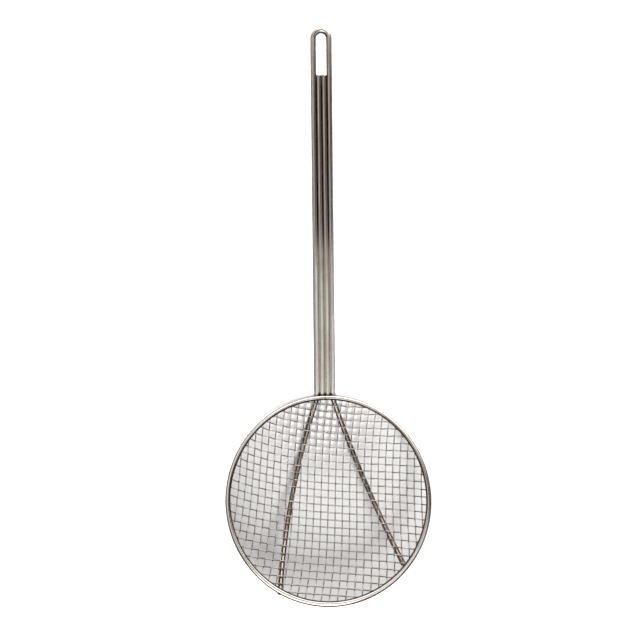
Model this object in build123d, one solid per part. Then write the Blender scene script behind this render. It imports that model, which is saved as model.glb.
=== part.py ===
from build123d import *
import math
import os

# Spider skimmer: a round bowl of woven wire in a hoop, carried by two ribs and a four-wire handle.
# Millimetres and degrees. The handle lies flat on the table, which is Z = 0, and runs along Y.
# The bowl is towards -Y with its far side raised. The origin is the bottom centre of the whole.

# Handle
handle_wire_count = 4
handle_wire_dia = 4.9
handle_wire_gap = 0.1
handle_length = 348.0
hanging_gap_length = 39.8
cut_end_chamfer = 0.4
# how far the handle's line lies to the left of the middle of the hoop
handle_side_offset = 1.6
# how far the wires reach past the middle line of the hoop that lies on them
handle_tuck = 0.5

# Hoop
hoop_outer_dia = 178.0
hoop_wire_dia = 4.4
hoop_butt_gap = 0.3
bowl_pitch_angle = 26.0

# Ribs: places from the middle of the hoop, right and away from the handle, as shares of the hoop's radius
rib_wire_dia = 4.4
rib_weld_gap = 0.9
rib_left_middle_shares = (-0.370, -0.060)
rib_left_end_shares = (-0.469, 0.920)
rib_right_middle_shares = (0.468, 0.020)
rib_right_end_shares = (0.728, 0.680)

# Wire cloth
mesh_wire_dia = 1.0
mesh_pitch = 6.45
mesh_crossing_gap = 0.2
mesh_bend_radius = 3.0
mesh_trim_past_hoop = 0.1
bowl_depth = 27.4
seat_gap = 0.1
handle_seat_gap = 0.15
# the cloth lies a few degrees out of line with the handle, and a little out of square
long_wire_turn = 3.5
cross_wire_turn = 6.2
# how many pitches the outermost wire lies inside the hoop
edge_clear_share = 0.6
# the run, as a share of the pitch, in which a cut end can rise to the hoop
lift_run_share = 0.8
# how much of the half width of the cloth one pitch of drift is counted on
drift_reach_share = 1.0 / 14.0
# drift of the wires from even spacing, in pitches, where the cloth was pressed into the bowl
long_start_share = 0.03
long_wave_shares = (0.39, -0.75)
long_twist_shares = (0.19, 0.28, -0.28)
cross_start_share = -0.15
cross_wave_shares = (-0.34, 0.74)
cross_twist_shares = (-0.25, -0.12, 0.22)

os.makedirs("parts", exist_ok=True)


# The handle's wires lie side by side
handle_wire_pitch = handle_wire_dia + handle_wire_gap
handle_leg_offset = (handle_wire_count - 1) / 2 * handle_wire_pitch
handle_half_width = handle_leg_offset + handle_wire_dia / 2

# Levels of the layers, worked out from the wires
hoop_radius = (hoop_outer_dia - hoop_wire_dia) / 2
mesh_level = (mesh_wire_dia + mesh_crossing_gap) / 2
mesh_half_thickness = mesh_level + mesh_wire_dia / 2
hoop_standoff = hoop_wire_dia / 2 + seat_gap + mesh_half_thickness
rib_standoff = rib_wire_dia / 2 + seat_gap + mesh_half_thickness

# The bowl is part of a ball: the hoop stands inside it and its bottom is one depth under the hoop
bowl_radius = (hoop_radius**2 + bowl_depth**2 - hoop_standoff**2) / (2 * (bowl_depth - hoop_standoff))
ball_above_hoop = bowl_radius - bowl_depth

# Places along the handle
pitch_sin = math.sin(math.radians(bowl_pitch_angle))
pitch_cos = math.cos(math.radians(bowl_pitch_angle))
overall_length = handle_length - handle_tuck + 2 * hoop_radius * pitch_cos + hoop_wire_dia / 2
handle_top_y = overall_length / 2
handle_end_y = handle_top_y - handle_length
rim_centre_y = handle_end_y + handle_tuck - hoop_radius * pitch_cos
ball_y = rim_centre_y + ball_above_hoop * pitch_sin

# The bowl rests on the ends of the handle wires, or on its ribs where these reach lower
handle_rise = math.sqrt((bowl_radius + mesh_half_thickness) ** 2 - (handle_end_y - ball_y) ** 2)
ball_z_on_handle = handle_wire_dia + handle_seat_gap + handle_rise
ball_z_on_ribs = bowl_radius + rib_standoff + rib_wire_dia / 2
ball_z = max(ball_z_on_handle, ball_z_on_ribs)
rim_centre_z = ball_z - ball_above_hoop * pitch_cos
rim_plane = Plane(origin=(0, rim_centre_y, rim_centre_z), x_dir=(1, 0, 0), z_dir=(0, pitch_sin, pitch_cos))


def swept_wire(path, diameter):
    """A round wire of one diameter along a path."""
    section = Plane(origin=path @ 0, z_dir=path % 0) * Circle(diameter / 2)
    return sweep(section, path=path)


def ball_point(right, away, above):
    """A point over the plan place (right, away from the handle), this far inside the bowl's ball."""
    radius = bowl_radius - above
    height = ball_above_hoop - math.sqrt(radius**2 - right**2 - away**2)
    return rim_plane.from_local_coords(Vector(right, -away, height))


# Handle wires
def make_handle_loop():
    """The outer wire: up one side, round the hanging loop and down the other side."""
    height = handle_wire_dia / 2
    bend_y = handle_top_y - handle_half_width
    left = -handle_side_offset - handle_leg_offset
    right = -handle_side_offset + handle_leg_offset
    left_leg = Line((left, handle_end_y, height), (left, bend_y, height))
    bend_top = (-handle_side_offset, bend_y + handle_leg_offset, height)
    bend = ThreePointArc((left, bend_y, height), bend_top, (right, bend_y, height))
    right_leg = Line((right, bend_y, height), (right, handle_end_y, height))
    return swept_wire(Wire([left_leg, bend, right_leg]), handle_wire_dia)


def make_handle_inner(side):
    """A straight inner wire, which stops short of the loop with a chamfered end."""
    across = -handle_side_offset + side * handle_wire_pitch / 2
    height = handle_wire_dia / 2
    stop_y = handle_top_y - handle_wire_dia - hanging_gap_length
    rod = swept_wire(Wire([Line((across, handle_end_y, height), (across, stop_y, height))]), handle_wire_dia)
    cut_edge = rod.edges().filter_by(GeomType.CIRCLE).sort_by(Axis.Y)[-1]
    return chamfer(cut_edge, cut_end_chamfer)


# Hoop
def make_hoop():
    """The rim: a wire bent to a ring, its two ends butted over the middle of the handle."""
    seam_angle = math.degrees(math.acos(-handle_side_offset / hoop_radius))
    gap_angle = math.degrees(hoop_butt_gap / hoop_radius)
    ring = CenterArc((0, 0), hoop_radius, seam_angle + gap_angle / 2, 360 - gap_angle)
    return swept_wire(rim_plane * ring, hoop_wire_dia)


# Ribs
def make_rib(side, middle_shares, end_shares):
    """A rib: one arc round the outside of the bowl, from a handle wire's end to the far side of the hoop."""
    start_x = -handle_side_offset + side * handle_leg_offset
    start_y = handle_end_y - rib_weld_gap
    reach = bowl_radius + rib_standoff
    start_z = ball_z - math.sqrt(reach**2 - start_x**2 - (start_y - ball_y) ** 2)
    start = Vector(start_x, start_y, start_z)
    middle = ball_point(middle_shares[0] * hoop_radius, middle_shares[1] * hoop_radius, -rib_standoff)
    end = ball_point(end_shares[0] * hoop_radius, end_shares[1] * hoop_radius, -rib_standoff)
    return swept_wire(Wire([ThreePointArc(start, middle, end)]), rib_wire_dia)


# Wire cloth
def crossing(long_index, cross_index):
    """Plan place of the crossing of two wires: right of the hoop's middle, and away from the handle."""
    u = long_index * drift_reach_share
    v = cross_index * drift_reach_share
    long_drift = long_start_share + long_wave_shares[0] * v + long_wave_shares[1] * v**3
    long_drift += long_twist_shares[0] * u**2
    long_drift += long_twist_shares[1] * u * v**2 + long_twist_shares[2] * u**2 * v
    cross_drift = cross_start_share + cross_wave_shares[0] * u + cross_wave_shares[1] * u**3
    cross_drift += cross_twist_shares[0] * u * v
    cross_drift += cross_twist_shares[1] * u**2 + cross_twist_shares[2] * u**2 * v
    along = bowl_radius * math.sin((long_index + long_drift) * mesh_pitch / bowl_radius)
    off = bowl_radius * math.sin((cross_index + cross_drift) * mesh_pitch / bowl_radius)
    turn_a = math.radians(long_wire_turn)
    turn_b = math.radians(cross_wire_turn)
    square = math.cos(turn_a - turn_b)
    right = (along * math.cos(turn_b) - off * math.sin(turn_a)) / square
    away = (along * math.sin(turn_b) + off * math.cos(turn_a)) / square
    return right, away


def bent_path(points, radius):
    """Straight runs between the points, joined at each by a tangent arc."""
    edges = []
    last = points[0]
    for before, corner, after in zip(points, points[1:], points[2:]):
        way_in = (corner - before).normalized()
        way_out = (after - corner).normalized()
        half_turn = math.radians(way_in.get_angle(way_out)) / 2
        tangent = radius * math.tan(half_turn)
        drop = radius / math.cos(half_turn) - radius
        arc_start = corner - way_in * tangent
        arc_end = corner + way_out * tangent
        arc_middle = corner + (way_out - way_in).normalized() * drop
        edges.append(Line(last, arc_start))
        edges.append(ThreePointArc(arc_start, arc_middle, arc_end))
        last = arc_end
    edges.append(Line(last, points[-1]))
    return Wire(edges)


# a bend takes off the corner's tip, so the corners stand a little further out than the wire
crimp_slope = math.atan(2 * mesh_level / mesh_pitch)
corner_level = mesh_level + mesh_bend_radius * (1 / math.cos(crimp_slope) - 1)
# the least run from a crossing to a cut end in which the wire can still bend
bend_run = mesh_bend_radius * math.tan(crimp_slope) + seat_gap
trim_radius = hoop_radius + mesh_trim_past_hoop
wires_each_side = int(bowl_radius * math.asin(hoop_radius / bowl_radius) / mesh_pitch - edge_clear_share)
# a cut end with room to bend rises until it lies against the hoop
seat_reach = hoop_wire_dia / 2 + seat_gap + mesh_wire_dia / 2
seat_drop = math.sqrt(seat_reach**2 - mesh_trim_past_hoop**2)
seat_level = bowl_radius - math.hypot(trim_radius, ball_above_hoop + seat_drop)


def trimmed_end(inside, outside, inside_level, outside_level):
    """Where a wire is cut under the hoop: its place, its level and whether its last crossing is kept."""
    step_right = outside[0] - inside[0]
    step_away = outside[1] - inside[1]
    step = math.hypot(step_right, step_away)
    along = (inside[0] * step_right + inside[1] * step_away) / step
    room = trim_radius**2 - inside[0] ** 2 - inside[1] ** 2
    run = math.sqrt(along**2 + room) - along
    place = (inside[0] + step_right * run / step, inside[1] + step_away * run / step)
    if run < bend_run:
        return place, inside_level, False
    if step - run < mesh_wire_dia + mesh_crossing_gap:
        return place, outside_level, True
    over_handle = place[1] < 0 and abs(place[0] + handle_side_offset) < handle_half_width + mesh_pitch
    if run > mesh_pitch * lift_run_share and not over_handle:
        return place, seat_level, True
    level = inside_level + (outside_level - inside_level) * run / step
    return place, max(level, inside_level), True


def make_mesh_wire(places, signs):
    """One wire of the cloth: over and under at the crossings, and cut off under the hoop."""
    inside = [n for n, place in enumerate(places) if math.hypot(*place) < trim_radius]
    first = inside[0]
    last = inside[-1]
    levels = [sign * corner_level for sign in signs]
    head, head_level, keep_first = trimmed_end(
        places[first], places[first - 1], levels[first], levels[first - 1]
    )
    tail, tail_level, keep_last = trimmed_end(places[last], places[last + 1], levels[last], levels[last + 1])
    kept = range(first if keep_first else first + 1, last + 1 if keep_last else last)
    points = [ball_point(*head, head_level)]
    points += [ball_point(*places[n], levels[n]) for n in kept]
    points.append(ball_point(*tail, tail_level))
    return swept_wire(bent_path(points, mesh_bend_radius), mesh_wire_dia)


def crossing_sign(long_index, cross_index):
    """+1 where the lengthwise wire is on top."""
    return 1 if (long_index + cross_index) % 2 else -1


def make_mesh_wires():
    """Both sets of wires, woven one over and one under."""
    wires = {}
    # crossings are worked out this many wires past the last one, so that every wire has a run to be cut
    past = 3
    indices = range(-wires_each_side, wires_each_side + 1)
    wide = range(-wires_each_side - past, wires_each_side + past + 1)
    for number, fixed in enumerate(indices, start=1):
        places = [crossing(fixed, n) for n in wide]
        signs = [crossing_sign(fixed, n) for n in wide]
        wires[f"mesh_long_wire_{number:02d}"] = make_mesh_wire(places, signs)
        places = [crossing(n, fixed) for n in wide]
        signs = [-crossing_sign(n, fixed) for n in wide]
        wires[f"mesh_cross_wire_{number:02d}"] = make_mesh_wire(places, signs)
    return wires


# The assembly: one file for each piece
pieces = {
    "handle_loop_wire": make_handle_loop(),
    "handle_inner_wire_left": make_handle_inner(-1),
    "handle_inner_wire_right": make_handle_inner(1),
    "rim_hoop": make_hoop(),
    "rib_left": make_rib(-1, rib_left_middle_shares, rib_left_end_shares),
    "rib_right": make_rib(1, rib_right_middle_shares, rib_right_end_shares),
}
pieces.update(make_mesh_wires())
for name, piece in pieces.items():
    export_step(piece, f"parts/{name}.step")
print(len(pieces), "pieces,", round(overall_length, 1), "mm long")
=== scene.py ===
import math

import bpy
import numpy as np
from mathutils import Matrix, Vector


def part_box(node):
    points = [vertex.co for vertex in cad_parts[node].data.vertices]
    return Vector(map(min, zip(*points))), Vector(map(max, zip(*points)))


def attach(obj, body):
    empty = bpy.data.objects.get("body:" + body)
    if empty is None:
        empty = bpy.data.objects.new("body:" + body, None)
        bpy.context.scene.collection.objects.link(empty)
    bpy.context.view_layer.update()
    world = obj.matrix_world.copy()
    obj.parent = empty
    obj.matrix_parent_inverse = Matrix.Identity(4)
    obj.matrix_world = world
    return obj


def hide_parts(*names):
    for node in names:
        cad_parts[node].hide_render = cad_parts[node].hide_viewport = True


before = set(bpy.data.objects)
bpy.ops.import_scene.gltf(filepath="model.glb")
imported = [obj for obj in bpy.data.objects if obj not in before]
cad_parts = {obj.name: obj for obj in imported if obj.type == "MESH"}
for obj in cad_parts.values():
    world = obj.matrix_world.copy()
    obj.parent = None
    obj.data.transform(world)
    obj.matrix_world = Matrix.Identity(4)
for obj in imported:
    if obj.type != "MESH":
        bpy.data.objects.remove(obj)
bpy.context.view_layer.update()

# Camera
# The skimmer was photographed from straight above, from a little over half a metre up. The camera
# hangs over the middle of the length and is turned by a fraction of a degree.
camera_place = (-0.0055, -0.0223, 0.5680)
camera_turn = -0.0107
camera_lens = 33.77
camera_data = bpy.data.cameras.new("camera")
camera_data.lens = camera_lens
camera_data.clip_start = 0.01
camera = bpy.data.objects.new("camera", camera_data)
camera.location = camera_place
camera.rotation_euler = (0, 0, camera_turn)
bpy.context.scene.collection.objects.link(camera)
bpy.context.scene.camera = camera

# Light
# One soft lamp hangs above the bowl's far side, a little to the right, so the rim's shadow falls
# almost straight down. The room around is pale overhead and brown and dim lower down.
bpy.context.scene.view_settings.view_transform = "Standard"
key_place = (0.18, -0.17, 0.90)
key_size = 0.26
key_power = 7.0
key_colour = (1.0, 0.985, 0.96)
aim_point = (0.0, -0.15, 0.0)


def soft_light(name, place, size, power, colour):
    """A square lamp at a place, facing the aim point."""
    lamp = bpy.data.lights.new(name, "AREA")
    lamp.size = size
    lamp.energy = power
    lamp.color = colour
    holder = bpy.data.objects.new(name, lamp)
    holder.location = place
    away = Vector(place) - Vector(aim_point)
    holder.rotation_euler = away.to_track_quat("Z", "Y").to_euler()
    holder.visible_glossy = False
    bpy.context.scene.collection.objects.link(holder)


soft_light("key_light", key_place, key_size, key_power, key_colour)


def feed(tree, node, inputs):
    """Each input of a node is linked where a socket is given, and set where a value is."""
    for key, value in inputs.items():
        if isinstance(value, bpy.types.NodeSocket):
            tree.links.new(value, node.inputs[key])
        else:
            node.inputs[key].default_value = value


def new_node(tree, kind, inputs=None, **settings):
    """A new shader node of a kind, with its settings and then its inputs."""
    node = tree.nodes.new("ShaderNode" + kind)
    for key, value in settings.items():
        setattr(node, key, value)
    feed(tree, node, inputs or {})
    return node


def calculated(tree, operation, first, second):
    """Two sockets or numbers put together."""
    return new_node(tree, "Math", {0: first, 1: second}, operation=operation).outputs[0]


def ranged(tree, value, span, levels=(0.0, 1.0)):
    """A socket moved smoothly from a span to a pair of levels, and held at both ends."""
    (low, high), (to_low, to_high) = span, levels
    inputs = {"Value": value, "From Min": low, "From Max": high, "To Min": to_low, "To Max": to_high}
    return new_node(tree, "MapRange", inputs, interpolation_type="SMOOTHSTEP").outputs[0]


def mixed(tree, factor, first, second):
    """One colour into another by a mask."""
    inputs = {"Factor": factor, "A": first, "B": second}
    return new_node(tree, "Mix", inputs, data_type="RGBA").outputs["Result"]


# the room by height above the horizon, from its low colour to its high one
room_low_colour = (0.24, 0.205, 0.185)
room_high_colour = (0.76, 0.755, 0.75)
room_heights = (0.0, 0.6)
# matt surfaces are lit by the room as if it were one even tone
room_fill_colour = (0.36, 0.36, 0.365)
# round patches laid over the room: direction, full within, gone by (degrees), colour
room_patches = {
    "right_window": ((0.45, -0.06, 0.89), 8.0, 22.0, (1.00, 1.02, 1.04)),
    "left_wall": ((-0.36, 0.34, 0.87), 8.0, 24.0, (0.55, 0.55, 0.54)),
    "left_gap": ((-0.86, -0.05, 0.48), 14.0, 34.0, (0.40, 0.38, 0.36)),
    "right_gap": ((0.80, 0.42, 0.43), 12.0, 24.0, (0.06, 0.05, 0.045)),
    "near_wall": ((0.22, 0.88, 0.42), 20.0, 36.0, (2.50, 2.48, 2.44)),
}


def make_room():
    """The surroundings: a rise from low to high colour with round soft patches laid over it."""
    world = bpy.data.worlds.new("room")
    bpy.context.scene.world = world
    world.use_nodes = True
    tree = world.node_tree
    tree.nodes.clear()
    place = new_node(tree, "TexCoord").outputs["Generated"]
    height = new_node(tree, "SeparateXYZ", {0: place}).outputs["Z"]
    height = ranged(tree, height, room_heights)
    colour = mixed(tree, height, (*room_low_colour, 1), (*room_high_colour, 1))
    for direction, inner, outer, tint in room_patches.values():
        inputs = {0: place, 1: Vector(direction).normalized()}
        facing = new_node(tree, "VectorMath", inputs, operation="DOT_PRODUCT").outputs["Value"]
        reach = (math.cos(math.radians(outer)), math.cos(math.radians(inner)))
        colour = mixed(tree, ranged(tree, facing, reach), colour, (*tint, 1))
    seen = new_node(tree, "LightPath").outputs
    colour = mixed(tree, seen["Is Diffuse Ray"], colour, (*room_fill_colour, 1))
    room = new_node(tree, "Background", {"Color": colour}).outputs[0]
    white = new_node(tree, "Background", {"Color": (1, 1, 1, 1)}).outputs[0]
    either = new_node(tree, "MixShader", {"Fac": seen["Is Camera Ray"], 1: room, 2: white})
    new_node(tree, "OutputWorld", {"Surface": either.outputs[0]})


make_room()


def flat_sheet(name, low, high, height, material_name):
    """A level rectangle from its low corner to its high one, with an empty material of its own."""
    mesh = bpy.data.meshes.new(name)
    (left, near), (right, far) = low, high
    corners = [(left, near), (right, near), (right, far), (left, far)]
    mesh.from_pydata([(x, y, height) for x, y in corners], [], [(0, 1, 2, 3)])
    sheet = bpy.data.objects.new(name, mesh)
    bpy.context.scene.collection.objects.link(sheet)
    material = bpy.data.materials.new(material_name)
    material.use_nodes = True
    material.node_tree.nodes.clear()
    mesh.materials.append(material)
    return sheet, material.node_tree


# flat cards that reflections alone see: the lamp's white screen, and a dark brown cloth that hangs
# over the upper handle and darkens its wires. Each is name, low corner, high corner, height, colour.
screen_card = ("white_screen", (-0.75, -1.00), (0.20, -0.24), 0.90, (3.0, 2.98, 2.94))
cloth_card = ("dark_cloth", (-0.06, 0.11), (0.55, 0.50), 0.55, (0.13, 0.074, 0.055))


def make_card(name, low, high, height, colour):
    """A flat rectangle over the table that glossy rays alone meet."""
    card, tree = flat_sheet(name, low, high, height, name)
    glow = new_node(tree, "Emission", {"Color": (*colour, 1)})
    new_node(tree, "OutputMaterial", {"Surface": glow.outputs[0]})
    card.visible_camera = False
    card.visible_diffuse = False
    card.visible_shadow = False


make_card(*screen_card)
make_card(*cloth_card)

# Table
# A plain white table. The camera and the wire's reflections see it as white, and the light that it
# throws back is that of a pale matt board. Where it is seen through the bowl, a grey painted shade
# is laid on it.
table_half_width = 4.0
table_colour = 0.78
table_seen_colour = 1.90
# past the lamp's reach the board is written paler, so that it stays white toward the horizon
distant_reach = (0.45, 1.60)
distant_seen_colour = 3.0
# painted shade: the part of the board seen through the bowl is painted greyer, the more so away
# from the handle's side
painted_shade_disc_centre = (0.0020, -0.1945, 0.0)
painted_shade_disc_reach = (0.0955, 0.1005)
painted_shade_centre = (0.004, -0.145, 0.0)
painted_shade_reach = (0.045, 0.135)
painted_shade_levels = (0.97, 0.58)


def make_table():
    """A square sheet at Z = 0, just under the wires that lie on it."""
    half = table_half_width
    table, tree = flat_sheet("table", (-half, -half), (half, half), 0, "white_table")
    place = new_node(tree, "TexCoord").outputs["Object"]

    def distance_from(centre):
        """How far a place on the board is from a centre."""
        inputs = {0: place, 1: centre}
        return new_node(tree, "VectorMath", inputs, operation="DISTANCE").outputs["Value"]

    # painted shade under the bowl, greyer away from the handle's side
    under_bowl_painted_shade = ranged(tree, distance_from(painted_shade_centre), painted_shade_reach, painted_shade_levels)
    away = distance_from(painted_shade_disc_centre)
    open_board = ranged(tree, away, distant_reach, (table_seen_colour, distant_seen_colour))
    seen_level = ranged(tree, away, painted_shade_disc_reach, (under_bowl_painted_shade, open_board))
    ray = new_node(tree, "LightPath").outputs
    seen = calculated(tree, "MAXIMUM", ray["Is Camera Ray"], ray["Is Glossy Ray"])
    seen = calculated(tree, "MAXIMUM", seen, ray["Is Transmission Ray"])
    colour = mixed(tree, seen, (table_colour, table_colour, table_colour, 1), seen_level)
    matt = new_node(tree, "BsdfDiffuse", {"Color": colour})
    new_node(tree, "OutputMaterial", {"Surface": matt.outputs[0]})


make_table()

# Handle loop wire
# One thick drawn steel wire, nickel plated, bent into a long U. The bend is the hanging loop and the
# legs are the handle's outer two wires. It lies flat on the table.
mm = 0.001
# the dressed wires stay this far inside the solids of the construction
inside_solid = 0.02 * mm
handle_wire_dia = 4.9 * mm
handle_wire_gap = 0.1 * mm
handle_wire_count = 4
handle_wire_pitch = handle_wire_dia + handle_wire_gap
handle_leg_offset = (handle_wire_count - 1) / 2 * handle_wire_pitch
handle_wire_radius = handle_wire_dia / 2 - inside_solid
handle_low, handle_high = [np.array(corner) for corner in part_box("handle_loop_wire")]
handle_axis_x = (handle_low[0] + handle_high[0]) / 2
handle_end_y = handle_low[1]
handle_top_y = handle_high[1]
handle_height = handle_wire_dia / 2
handle_sides = 40
handle_leg_rings = 240
handle_bend_rings = 90

nickel_colour = (0.70, 0.685, 0.655)
tarnish_colour = (0.42, 0.335, 0.27)
# painted shade on each wire's sides, below the lit top
shaded_sides_colour = (0.095, 0.074, 0.060)
# the handle's sides carry a painted pale reflection between the hoop, where painted shade stays,
# and the start of the grip
painted_reflection_colour = (0.86, 0.83, 0.74)
hoop_shade_reach = (-0.0918, -0.0900)
painted_reflection_reach = (0.035, 0.075)
grime_colour = (0.16, 0.115, 0.085)
# how softly the painted pale reflection on a handle wire's sides gives way to the painted shade,
# across the wire
painted_reflection_edge = 0.5 * mm
# painted dark reflection: the metal's edge tint is dark, so a wire's outline stays dark where bare
# metal would turn white
dark_outline_tint = (0.10, 0.08, 0.065)
# noises on the wire: how far they are drawn out along it, detail, roughness
cloud_noise = (4.0, 4.0, 0.6)
line_noise = (60.0, 3.0, 0.65)
speck_noise = (1.6, 2.0, 0.5)
# where each noise begins and is full, and how much it does there
cloud_span, cloud_levels = (0.35, 0.70), (0.0, 1.0)
line_span, line_levels = (0.40, 0.75), (0.0, 0.55)
pit_span, pit_levels = (0.68, 0.80), (0.0, 0.8)
# the edge between the lit top and the painted shade on the sides: how far the clouds push it
# about, and how soft it is
shade_edge_wander = 0.3
shade_edge_span = (-0.09, 0.09)
# what tarnish, lines and the sides under the painted shade add to the roughness
tarnish_roughness, line_roughness, side_roughness = 0.14, 0.08, 0.06
# what lines, pits and clouds add to the height
line_height, pit_depth, cloud_height = 0.5, 0.6, 1.2


def unit(vectors):
    """Each row divided by its own length."""
    return vectors / np.linalg.norm(vectors, axis=-1, keepdims=True)


def wire_surface(name, path, up, radius, sides, material, start=0.0):
    """A wire as a grid: ring k is path point k plus radius times (side cos a + up sin a).

    The side direction is the path's tangent crossed with the up direction. Both ends are closed.
    The wire_place attribute holds (radius cos a, radius sin a, length so far), for the drawn grain."""
    tangent = unit(np.gradient(path, axis=0))
    up = np.broadcast_to(up, path.shape)
    up = unit(up - np.sum(up * tangent, axis=1, keepdims=True) * tangent)
    side = np.cross(tangent, up)
    radius = np.broadcast_to(radius, (len(path),))
    angle = np.linspace(0, 2 * np.pi, sides, endpoint=False)
    round_x = radius[:, None] * np.cos(angle)
    round_y = radius[:, None] * np.sin(angle)
    rings = path[:, None] + round_x[..., None] * side[:, None] + round_y[..., None] * up[:, None]
    steps = np.linalg.norm(np.diff(path, axis=0), axis=1)
    length = start + np.concatenate([[0], np.cumsum(steps)])
    place = np.stack([round_x, round_y, np.broadcast_to(length[:, None], round_x.shape)], axis=-1)
    row = np.arange(len(path) - 1)[:, None] * sides
    above = row + sides
    step = np.arange(sides)[None]
    ahead = (step + 1) % sides
    quads = np.stack([row + step, above + step, above + ahead, row + ahead], axis=-1)
    faces = quads.reshape(-1, 4).tolist()
    last = (len(path) - 1) * sides
    faces.append(list(range(sides)))
    faces.append(list(range(last + sides - 1, last - 1, -1)))
    return surface_piece(name, rings.reshape(-1, 3), faces, place.reshape(-1, 3), material, flat=2)


def surface_piece(name, points, faces, place, material, flat=0):
    """An object from points and faces, smooth but for its last few faces, with its wire places kept."""
    mesh = bpy.data.meshes.new(name)
    mesh.from_pydata(points.tolist(), [], faces)
    smooth = np.ones(len(faces), dtype=bool)
    smooth[len(faces) - flat:] = False
    mesh.polygons.foreach_set("use_smooth", smooth)
    kept = mesh.attributes.new("wire_place", "FLOAT_VECTOR", "POINT")
    kept.data.foreach_set("vector", place.astype(np.float32).ravel())
    mesh.materials.append(material)
    piece = bpy.data.objects.new(name, mesh)
    bpy.context.scene.collection.objects.link(piece)
    return piece


def chamfered(path, radius, chamfer_start, chamfer_end):
    """The path with a ring added near each end, and radii that take a chamfer off there."""
    first = path[0] + unit(path[1] - path[0]) * chamfer_start
    last = path[-1] - unit(path[-1] - path[-2]) * chamfer_end
    longer = np.concatenate([path[:1], first[None], path[1:-1], last[None], path[-1:]])
    radii = np.full(len(longer), radius)
    radii[0] -= chamfer_start
    radii[-1] -= chamfer_end
    return longer, radii


def make_wire_tarnish_and_shade_group():
    """Drawn and plated wire: fine lines along the wire, cloudy tarnish, specks of grime, and painted
    shade on the sides below the lit top.
    """
    tree = bpy.data.node_groups.new("wire_tarnish_and_shade", "ShaderNodeTree")
    sockets = {
        "INPUT": {
            "Vector": ("Place",),
            "Color": ("Plating", "Tarnish", "Shaded Sides", "Grime"),
            "Float": ("Tarnish Amount", "Cloud Scale", "Line Scale", "Polish", "Shade Edge"),
        },
        "OUTPUT": {"Color": ("Color",), "Float": ("Roughness", "Height")},
    }
    for in_out, kinds in sockets.items():
        for kind, names in kinds.items():
            for name in names:
                tree.interface.new_socket(name, in_out=in_out, socket_type="NodeSocket" + kind)
    given = tree.nodes.new("NodeGroupInput").outputs
    out = tree.nodes.new("NodeGroupOutput")

    def noise(scale, stretch, detail, roughness):
        """Noise on the wire's place, drawn out along the wire by the stretch."""
        inputs = {"Vector": given["Place"], "Scale": (1, 1, 1 / stretch)}
        place = new_node(tree, "Mapping", inputs).outputs[0]
        inputs = {"Vector": place, "Scale": given[scale], "Detail": detail, "Roughness": roughness}
        return new_node(tree, "TexNoise", inputs).outputs["Fac"]

    def times(first, second):
        """A product."""
        return calculated(tree, "MULTIPLY", first, second)

    height = new_node(tree, "SeparateXYZ", {0: given["Place"]}).outputs["Y"]
    inputs = {0: given["Place"], 1: (1, 1, 0)}
    across = new_node(tree, "VectorMath", inputs, operation="MULTIPLY").outputs[0]
    reach = new_node(tree, "VectorMath", {0: across}, operation="LENGTH").outputs["Value"]
    upward = calculated(tree, "DIVIDE", height, reach)
    clouds = noise("Cloud Scale", *cloud_noise)
    lines = noise("Line Scale", *line_noise)
    specks = noise("Line Scale", *speck_noise)
    cloudy = times(ranged(tree, clouds, cloud_span, cloud_levels), given["Tarnish Amount"])
    lined = times(ranged(tree, lines, line_span, line_levels), given["Tarnish Amount"])
    tarnished = calculated(tree, "MAXIMUM", cloudy, lined)
    wander = times(calculated(tree, "SUBTRACT", clouds, 0.5), shade_edge_wander)
    past_edge = calculated(tree, "ADD", upward, wander)
    past_edge = calculated(tree, "SUBTRACT", past_edge, given["Shade Edge"])
    # painted shade: below the edge the wire's sides are darkened
    shaded_sides = ranged(tree, past_edge, shade_edge_span, (1.0, 0.0))
    pits = ranged(tree, specks, pit_span, pit_levels)
    colour = mixed(tree, tarnished, given["Plating"], given["Tarnish"])
    colour = mixed(tree, shaded_sides, colour, given["Shaded Sides"])
    colour = mixed(tree, pits, colour, given["Grime"])
    rough = times(tarnished, tarnish_roughness)
    rough = calculated(tree, "ADD", rough, times(lines, line_roughness))
    rough = calculated(tree, "ADD", rough, times(shaded_sides, side_roughness))
    rough = calculated(tree, "ADD", rough, given["Polish"])
    relief = calculated(tree, "SUBTRACT", times(lines, line_height), times(pits, pit_depth))
    relief = calculated(tree, "ADD", relief, times(clouds, cloud_height))
    feed(tree, out, {"Color": colour, "Roughness": rough, "Height": relief})
    return tree


wire_tarnish_and_shade = make_wire_tarnish_and_shade_group()


def sides_with_painted_reflection(tree, place, painted_reflection_from_x):
    """The sides' colour: painted pale reflection past a place across the wire, on the part of the
    handle given, and painted shade elsewhere.
    """
    where = new_node(tree, "TexCoord").outputs["Object"]
    length = new_node(tree, "SeparateXYZ", {0: where}).outputs["Y"]
    across = new_node(tree, "SeparateXYZ", {0: place}).outputs["X"]
    pale_share = ranged(tree, length, painted_reflection_reach, (1.0, 0.0))
    pale_share = calculated(tree, "MULTIPLY", pale_share, ranged(tree, length, hoop_shade_reach))
    edge = (painted_reflection_from_x - painted_reflection_edge, painted_reflection_from_x + painted_reflection_edge)
    pale_share = calculated(tree, "MULTIPLY", pale_share, ranged(tree, across, edge))
    return mixed(tree, pale_share, (*shaded_sides_colour, 1), (*painted_reflection_colour, 1))


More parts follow.
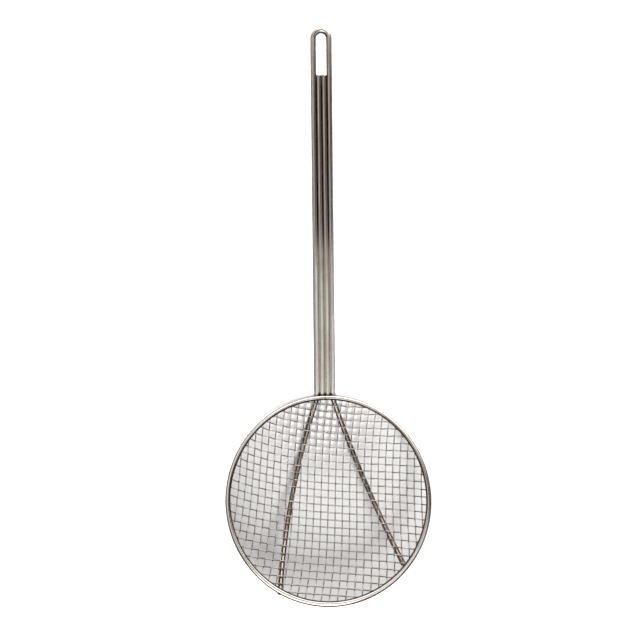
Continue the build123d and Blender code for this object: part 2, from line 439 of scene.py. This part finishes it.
def plated_wire(
    name, plating, tarnish_amount, cloud_scale, line_scale, polish, relief, shade_edge, painted_reflection_from_x=None
):
    """A metal wire material: the wire finish group feeds one plain metal shader.

    The top keeps the plating where the cosine of the angle from the top is over the given edge, and
    below it the sides are painted darker as shade. Where a place for the pale reflection is given, the
    handle's sides get a painted pale reflection past that place across the wire."""
    material = bpy.data.materials.new(name)
    material.use_nodes = True
    tree = material.node_tree
    place = new_node(tree, "Attribute", attribute_name="wire_place").outputs["Vector"]
    sides = (*shaded_sides_colour, 1)
    if painted_reflection_from_x is not None:
        sides = sides_with_painted_reflection(tree, place, painted_reflection_from_x)
    tarnish_and_shade = new_node(tree, "Group", {
        "Place": place,
        "Plating": (*plating, 1),
        "Tarnish": (*tarnish_colour, 1),
        "Shaded Sides": sides,
        "Grime": (*grime_colour, 1),
        "Tarnish Amount": tarnish_amount,
        "Cloud Scale": cloud_scale,
        "Line Scale": line_scale,
        "Polish": polish,
        "Shade Edge": shade_edge,
    }, node_tree=wire_tarnish_and_shade).outputs
    bump = new_node(tree, "Bump", {"Strength": 1.0, "Distance": relief, "Height": tarnish_and_shade["Height"]})
    feed(tree, tree.nodes["Principled BSDF"], {
        "Metallic": 1.0,
        "Specular Tint": (*dark_outline_tint, 1),
        "Base Color": tarnish_and_shade["Color"],
        "Roughness": tarnish_and_shade["Roughness"],
        "Normal": bump.outputs[0],
    })
    return material


# the loop's outer sides keep the painted shade all along, the sides that face the other wires get
# a painted pale reflection by the hoop
handle_look = dict(
    plating=nickel_colour, tarnish_amount=0.60, cloud_scale=90.0, line_scale=1500.0, polish=0.10,
    relief=0.02 * mm, shade_edge=0.68,
)
loop_plating_and_painted_light = plated_wire("loop_plating", painted_reflection_from_x=0.0, **handle_look)
handle_plating_and_painted_light = plated_wire("handle_plating", painted_reflection_from_x=-handle_wire_dia, **handle_look)


def handle_loop_path():
    """Up the left leg, round a half circle and down the right leg, all at one height."""
    bend_y = handle_top_y - handle_leg_offset - handle_wire_dia / 2
    rise = np.linspace(handle_end_y, bend_y, handle_leg_rings, endpoint=False)
    turn = np.linspace(np.pi, 0, handle_bend_rings)
    across = np.concatenate([
        np.full(len(rise), -handle_leg_offset),
        handle_leg_offset * np.cos(turn),
        np.full(len(rise), handle_leg_offset),
    ])
    along = np.concatenate([rise, bend_y + handle_leg_offset * np.sin(turn), rise[::-1]])
    return np.stack([handle_axis_x + across, along, np.full(len(along), handle_height)], axis=1)


upright = np.array([0.0, 0.0, 1.0])
loop_wire = wire_surface(
    "handle_loop", handle_loop_path(), upright, handle_wire_radius, handle_sides, loop_plating_and_painted_light
)
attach(loop_wire, "root")
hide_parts("handle_loop_wire")

# Handle inner wires
# Two straight lengths of the same wire between the legs. They are welded to the legs side by side and
# stop short of the bend, with sheared ends whose edges are rounded off.
cut_end_chamfer = 0.4 * mm
weld_end_chamfer = 0.1 * mm
inner_leg_rings = 220
# where the noise on the left and right wires starts: the middle, and one more or less to the side
inner_noise_start = 2.0
for side, name in ((-1, "left"), (1, "right")):
    node = f"handle_inner_wire_{name}"
    inner_low, inner_high = [np.array(corner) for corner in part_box(node)]
    along = np.linspace(inner_low[1], inner_high[1], inner_leg_rings)
    across = np.full(len(along), handle_axis_x + side * handle_wire_pitch / 2)
    path = np.stack([across, along, np.full(len(along), handle_height)], axis=1)
    path, radii = chamfered(path, handle_wire_radius, weld_end_chamfer, cut_end_chamfer)
    inner_wire = wire_surface(
        f"handle_inner_{name}", path, upright, radii, handle_sides, handle_plating_and_painted_light,
        start=inner_noise_start + side,
    )
    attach(inner_wire, "root")
    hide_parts(node)

# Hoop
# The bowl's rim: one wire bent to a ring, butted and welded over the middle of the handle. It lies on
# the edge of the cloth and is welded to it and to the handle. Its far side is pitched up.
hoop_wire_dia = 4.4 * mm
hoop_radius = 86.8 * mm
hoop_butt_gap = 0.3 * mm
bowl_pitch = math.radians(26.0)
bowl_depth = 27.4 * mm
hoop_end_chamfer = 0.15 * mm
hoop_rings = 720
hoop_sides = 36
hoop_noise_start = 10.0
mesh_wire_dia = 1.0 * mm
mesh_crossing_gap = 0.2 * mm
seat_gap = 0.1 * mm
handle_seat_gap = 0.15 * mm
mesh_level = (mesh_wire_dia + mesh_crossing_gap) / 2
mesh_half_thickness = mesh_level + mesh_wire_dia / 2
hoop_standoff = hoop_wire_dia / 2 + seat_gap + mesh_half_thickness
bowl_radius = (hoop_radius**2 + bowl_depth**2 - hoop_standoff**2) / 2 / (bowl_depth - hoop_standoff)
ball_above_hoop = bowl_radius - bowl_depth
rim_right = np.array([1.0, 0.0, 0.0])
rim_near = np.array([0.0, math.cos(bowl_pitch), -math.sin(bowl_pitch)])
rim_up = np.array([0.0, math.sin(bowl_pitch), math.cos(bowl_pitch)])
hoop_low, hoop_high = [np.array(corner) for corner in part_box("rim_hoop")]
rim_centre = np.array([0.0, (hoop_low[1] + hoop_high[1]) / 2, (hoop_low[2] + hoop_high[2]) / 2])
ball_centre = rim_centre + ball_above_hoop * rim_up

# painted highlight: the hoop's plating is written paler than the handle's nickel, so that its highlight
# stays bright
hoop_plating_and_highlight = plated_wire(
    "hoop_plating_painted_highlight", plating=(0.90, 0.875, 0.84), tarnish_amount=0.25, cloud_scale=90.0,
    line_scale=1600.0, polish=0.09, relief=0.015 * mm, shade_edge=0.88,
)


def on_rim(right, away, height):
    """A place given right of the hoop's middle, away from the handle and above the hoop's plane."""
    right, away, height = np.broadcast_arrays(right, away, height)
    return (
        rim_centre
        + right[..., None] * rim_right
        - away[..., None] * rim_near
        + height[..., None] * rim_up
    )


seam_angle = math.acos(handle_axis_x / hoop_radius)
seam_half_gap = hoop_butt_gap / hoop_radius / 2
turn = np.linspace(seam_angle + seam_half_gap, seam_angle + 2 * np.pi - seam_half_gap, hoop_rings)
hoop_path = on_rim(hoop_radius * np.cos(turn), -hoop_radius * np.sin(turn), 0.0)
hoop_path, radii = chamfered(
    hoop_path, hoop_wire_dia / 2 - inside_solid, hoop_end_chamfer, hoop_end_chamfer
)
hoop = wire_surface(
    "hoop", hoop_path, rim_up, radii, hoop_sides, hoop_plating_and_highlight, start=hoop_noise_start
)
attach(hoop, "root")
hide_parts("rim_hoop")

# Ribs
# Two bent wires under the bowl. Each is butt-welded to the end of one of the handle's outer wires,
# follows the bowl's curve and ends welded under the far side of the hoop.
rib_wire_dia = 4.4 * mm
rib_weld_gap = 0.9 * mm
rib_standoff = rib_wire_dia / 2 + seat_gap + mesh_half_thickness
# each rib's side, then its middle and its end (right, away) as shares of the hoop's radius
rib_shares = {
    "left": (-1, (-0.370, -0.060), (-0.469, 0.920)),
    "right": (1, (0.468, 0.020), (0.728, 0.680)),
}
rib_rings = 260
# the rib's end is sheared this many rings short, as the left one barely passes the hoop
rib_rings_short = {"left": 2, "right": 0}
rib_end_chamfer = 0.1 * mm
rib_sides = 32
rib_noise_start = 20.0
# painted shade: the ribs' plating is written darker than the handle's nickel, which takes a bright
# reflection off them
rib_plating_and_shade = plated_wire(
    "rib_plating_painted_shade", plating=(0.42, 0.385, 0.355), tarnish_amount=0.90, cloud_scale=110.0,
    line_scale=1600.0, polish=0.12, relief=0.02 * mm, shade_edge=0.93,
)


def on_ball(right, away, above):
    """The place over a plan place (right, away) that lies this far inside the bowl's ball."""
    radius = bowl_radius - above
    height = ball_above_hoop - np.sqrt(radius**2 - right**2 - away**2)
    return on_rim(right, away, height)


def arc_through(start, middle, end, count):
    """Points along the one circle through three points, from the first to the last."""
    first = middle - start
    second = end - start
    normal = np.cross(first, second)
    to_centre = np.dot(first, first) * np.cross(second, normal)
    to_centre = to_centre - np.dot(second, second) * np.cross(first, normal)
    centre = start + to_centre / (2 * np.dot(normal, normal))
    out = start - centre
    radius = np.linalg.norm(out)
    out = out / radius
    around = np.cross(unit(normal), out)
    reach = end - centre
    sweep = math.atan2(np.dot(reach, around), np.dot(reach, out)) % (2 * math.pi)
    turn = np.linspace(0, sweep, count)[:, None]
    return centre + radius * (np.cos(turn) * out + np.sin(turn) * around)


rib_starts = []
for name, (side, middle_shares, end_shares) in rib_shares.items():
    start = np.array([handle_axis_x + side * handle_leg_offset, handle_end_y - rib_weld_gap, 0.0])
    beside = start - ball_centre
    reach = bowl_radius + rib_standoff
    start[2] = ball_centre[2] - math.sqrt(reach**2 - beside[0] ** 2 - beside[1] ** 2)
    middle = on_ball(middle_shares[0] * hoop_radius, middle_shares[1] * hoop_radius, -rib_standoff)
    end = on_ball(end_shares[0] * hoop_radius, end_shares[1] * hoop_radius, -rib_standoff)
    path = arc_through(start, middle, end, rib_rings)[:rib_rings - rib_rings_short[name]]
    path, radii = chamfered(
        path, rib_wire_dia / 2 - inside_solid, rib_end_chamfer, rib_end_chamfer
    )
    rib = wire_surface(
        f"rib_under_bowl_{name}", path, ball_centre - path, radii, rib_sides, rib_plating_and_shade,
        start=rib_noise_start + side,
    )
    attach(rib, "root")
    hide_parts(f"rib_{name}")
    rib_starts.append(path[0])

# Welds
# Every joint is a resistance weld without added metal. It shows as a low dark nugget squeezed out where
# the hoop crosses a handle wire, where a rib meets a handle wire's end, and in the hoop's butt seam.
nugget_radii = (1.5 * mm, 2.2 * mm, 0.45 * mm)
rib_bead_radii = (1.9 * mm, 0.8 * mm, 1.9 * mm)
seam_bead_radii = (2.05 * mm, 0.35 * mm, 2.05 * mm)
bead_sides = 24
bead_rings = 14
weld_burn_and_shade = plated_wire(
    "weld_burn", plating=(0.30, 0.24, 0.20), tarnish_amount=0.9, cloud_scale=400.0,
    line_scale=900.0, polish=0.24, relief=0.08 * mm, shade_edge=0.30,
)


def bead_surface(name, centre, axes, radii):
    """An ellipsoid: centre + sum of radii times axes times (cos b cos a, cos b sin a, sin b)."""
    centre = np.asarray(centre)
    axes = np.asarray(axes, dtype=float)
    radii = np.array(radii)
    around = np.linspace(0, 2 * np.pi, bead_sides, endpoint=False)
    rise = np.linspace(-np.pi / 2, np.pi / 2, bead_rings + 2)[1:-1]
    ball = np.stack([
        np.cos(rise)[:, None] * np.cos(around),
        np.cos(rise)[:, None] * np.sin(around),
        np.broadcast_to(np.sin(rise)[:, None], (bead_rings, bead_sides)),
    ], axis=-1).reshape(-1, 3)
    ball = np.concatenate([ball, [[0, 0, -1], [0, 0, 1]]])
    points = centre + (ball * radii) @ axes
    row = np.arange(bead_rings - 1)[:, None] * bead_sides
    step = np.arange(bead_sides)[None]
    ahead = (step + 1) % bead_sides
    above = row + bead_sides
    quads = np.stack([row + step, row + ahead, above + ahead, above + step], axis=-1)
    faces = quads.reshape(-1, 4).tolist()
    bottom = bead_rings * bead_sides
    top = (bead_rings - 1) * bead_sides
    for place in range(bead_sides):
        after = (place + 1) % bead_sides
        faces.append([bottom, after, place])
        faces.append([bottom + 1, top + place, top + after])
    return surface_piece(name, points, faces, ball * radii, weld_burn_and_shade)


level_axes = np.eye(3)
rim_axes = np.stack([rim_right, rim_near, rim_up])
crossing_y = rim_centre[1] + hoop_radius * rim_near[1]
for number in range(handle_wire_count):
    across = handle_axis_x + (number - (handle_wire_count - 1) / 2) * handle_wire_pitch
    place = (across, crossing_y, handle_wire_dia)
    bead = bead_surface(f"hoop_weld_{number + 1}", place, level_axes, nugget_radii)
    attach(bead, "root")
for name, start in zip(rib_shares, rib_starts):
    place = start + (0, rib_weld_gap / 2, 0)
    bead = bead_surface(f"rib_start_weld_{name}", place, level_axes, rib_bead_radii)
    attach(bead, "root")
seam_place = on_rim(handle_axis_x, -math.sqrt(hoop_radius**2 - handle_axis_x**2), 0.0)
seam_bead = bead_surface("hoop_seam_weld", seam_place, rim_axes[[1, 0, 2]], seam_bead_radii)
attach(seam_bead, "root")

# Woven cloth
# Plain weave of crimped steel wire, about four to the inch, pressed into a shallow bowl, so that its
# wires drift from even spacing. The ends are cut under the hoop and rise against it.
mesh_pitch = 6.45 * mm
mesh_trim_past_hoop = 0.1 * mm
mesh_trim_radius = hoop_radius + mesh_trim_past_hoop
mesh_sides = 12
mesh_rings_a_pitch = 12
mesh_noise_start = 30.0
long_wire_noise_step = 0.5
wires_each_side = 13
long_wire_turn = math.radians(3.5)
cross_wire_turn = math.radians(6.2)
drift_reach_share = 1.0 / 14.0
long_start_share = 0.03
long_wave_shares = (0.39, -0.75)
long_twist_shares = (0.19, 0.28, -0.28)
cross_start_share = -0.15
cross_wave_shares = (-0.34, 0.74)
cross_twist_shares = (-0.25, -0.12, 0.22)
# how near the crimp is to straight runs with tight bends: 0 is a plain wave and 1 is a zigzag
crimp_sharpness_share = 0.9
# a cut end longer than this share of a pitch rises to the hoop, but not by the handle, which
# reaches this many pitches past its outer wires
lift_run_share = 0.8
handle_clear_share = 1.5
# a wire's ends are looked for this many pitches past the outermost wire, in this many steps
search_past_edge = 4
search_steps = 4001
seat_level = 0.94 * mm

cloth_plating_and_shade = plated_wire(
    "cloth_plating", plating=(0.60, 0.555, 0.53), tarnish_amount=0.60, cloud_scale=120.0,
    line_scale=2500.0, polish=0.12, relief=0.01 * mm, shade_edge=0.82,
)


def cloth_place(long_index, cross_index):
    """Plan place (right, away) of a point of the cloth, its indices counted in pitches from the middle.

    Each index is moved by a small cubic drift, turned into a length on the ball and then turned by
    the angle at which that set of wires lies."""
    u = long_index * drift_reach_share
    v = cross_index * drift_reach_share
    long_drift = long_start_share + long_wave_shares[0] * v + long_wave_shares[1] * v**3
    long_drift = long_drift + long_twist_shares[0] * u**2
    long_drift = long_drift + long_twist_shares[1] * u * v**2 + long_twist_shares[2] * u**2 * v
    cross_drift = cross_start_share + cross_wave_shares[0] * u + cross_wave_shares[1] * u**3
    cross_drift = cross_drift + cross_twist_shares[0] * u * v
    cross_drift = cross_drift + cross_twist_shares[1] * u**2 + cross_twist_shares[2] * u**2 * v
    along = bowl_radius * np.sin((long_index + long_drift) * mesh_pitch / bowl_radius)
    off = bowl_radius * np.sin((cross_index + cross_drift) * mesh_pitch / bowl_radius)
    square = math.cos(long_wire_turn - cross_wire_turn)
    right = (along * math.cos(cross_wire_turn) - off * math.sin(long_wire_turn)) / square
    away = (along * math.sin(cross_wire_turn) + off * math.cos(long_wire_turn)) / square
    return right, away


def crimp(index):
    """Level of a wire between +1 at even places and -1 at odd ones: a wave drawn towards a zigzag."""
    share = crimp_sharpness_share
    return np.arcsin(share * np.cos(np.pi * index)) / math.asin(share)


def cloth_wire_path(fixed, lengthwise):
    """One wire of the cloth: over and under the others, cut off where it meets the hoop's middle line."""
    def place(index):
        return cloth_place(fixed, index) if lengthwise else cloth_place(index, fixed)

    reach = wires_each_side + search_past_edge
    fine = np.linspace(-reach, reach, search_steps)
    distance = np.hypot(*place(fine))
    inside = np.nonzero(distance < mesh_trim_radius)[0]
    entry = slice(inside[0] - 1, inside[0] + 1)
    leave = slice(inside[-1], inside[-1] + 2)
    first = np.interp(-mesh_trim_radius, -distance[entry], fine[entry])
    last = np.interp(mesh_trim_radius, distance[leave], fine[leave])
    index = np.linspace(first, last, int((last - first) * mesh_rings_a_pitch))
    right, away = place(index)
    sign = -1 if lengthwise else 1
    level = sign * mesh_level * crimp(index + fixed)
    handle_reach = handle_leg_offset + handle_clear_share * mesh_pitch
    for end, inner in ((first, math.ceil(first)), (last, math.floor(last))):
        end_right, end_away = place(end)
        over_handle = end_away < 0 and abs(end_right - handle_axis_x) < handle_reach
        if abs(end - inner) > lift_run_share and not over_handle:
            run = (index - inner) / (end - inner)
            share = np.clip(run, 0, 1)
            share = share**2 * (3 - 2 * share)
            start_level = sign * mesh_level * crimp(np.array(float(inner + fixed)))
            lifted = start_level + (seat_level - start_level) * share
            level = np.where(run > 0, lifted, level)
    return on_ball(right, away, level)


for number, fixed in enumerate(range(-wires_each_side, wires_each_side + 1), start=1):
    for lengthwise, way in ((True, "long"), (False, "cross")):
        path = cloth_wire_path(fixed, lengthwise)
        start = mesh_noise_start + number + (long_wire_noise_step if lengthwise else 0.0)
        wire = wire_surface(
            f"woven_{way}_wire_{number:02d}", path, ball_centre - path, mesh_wire_dia / 2,
            mesh_sides, cloth_plating_and_shade, start=start,
        )
        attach(wire, "root")
        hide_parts(f"mesh_{way}_wire_{number:02d}")
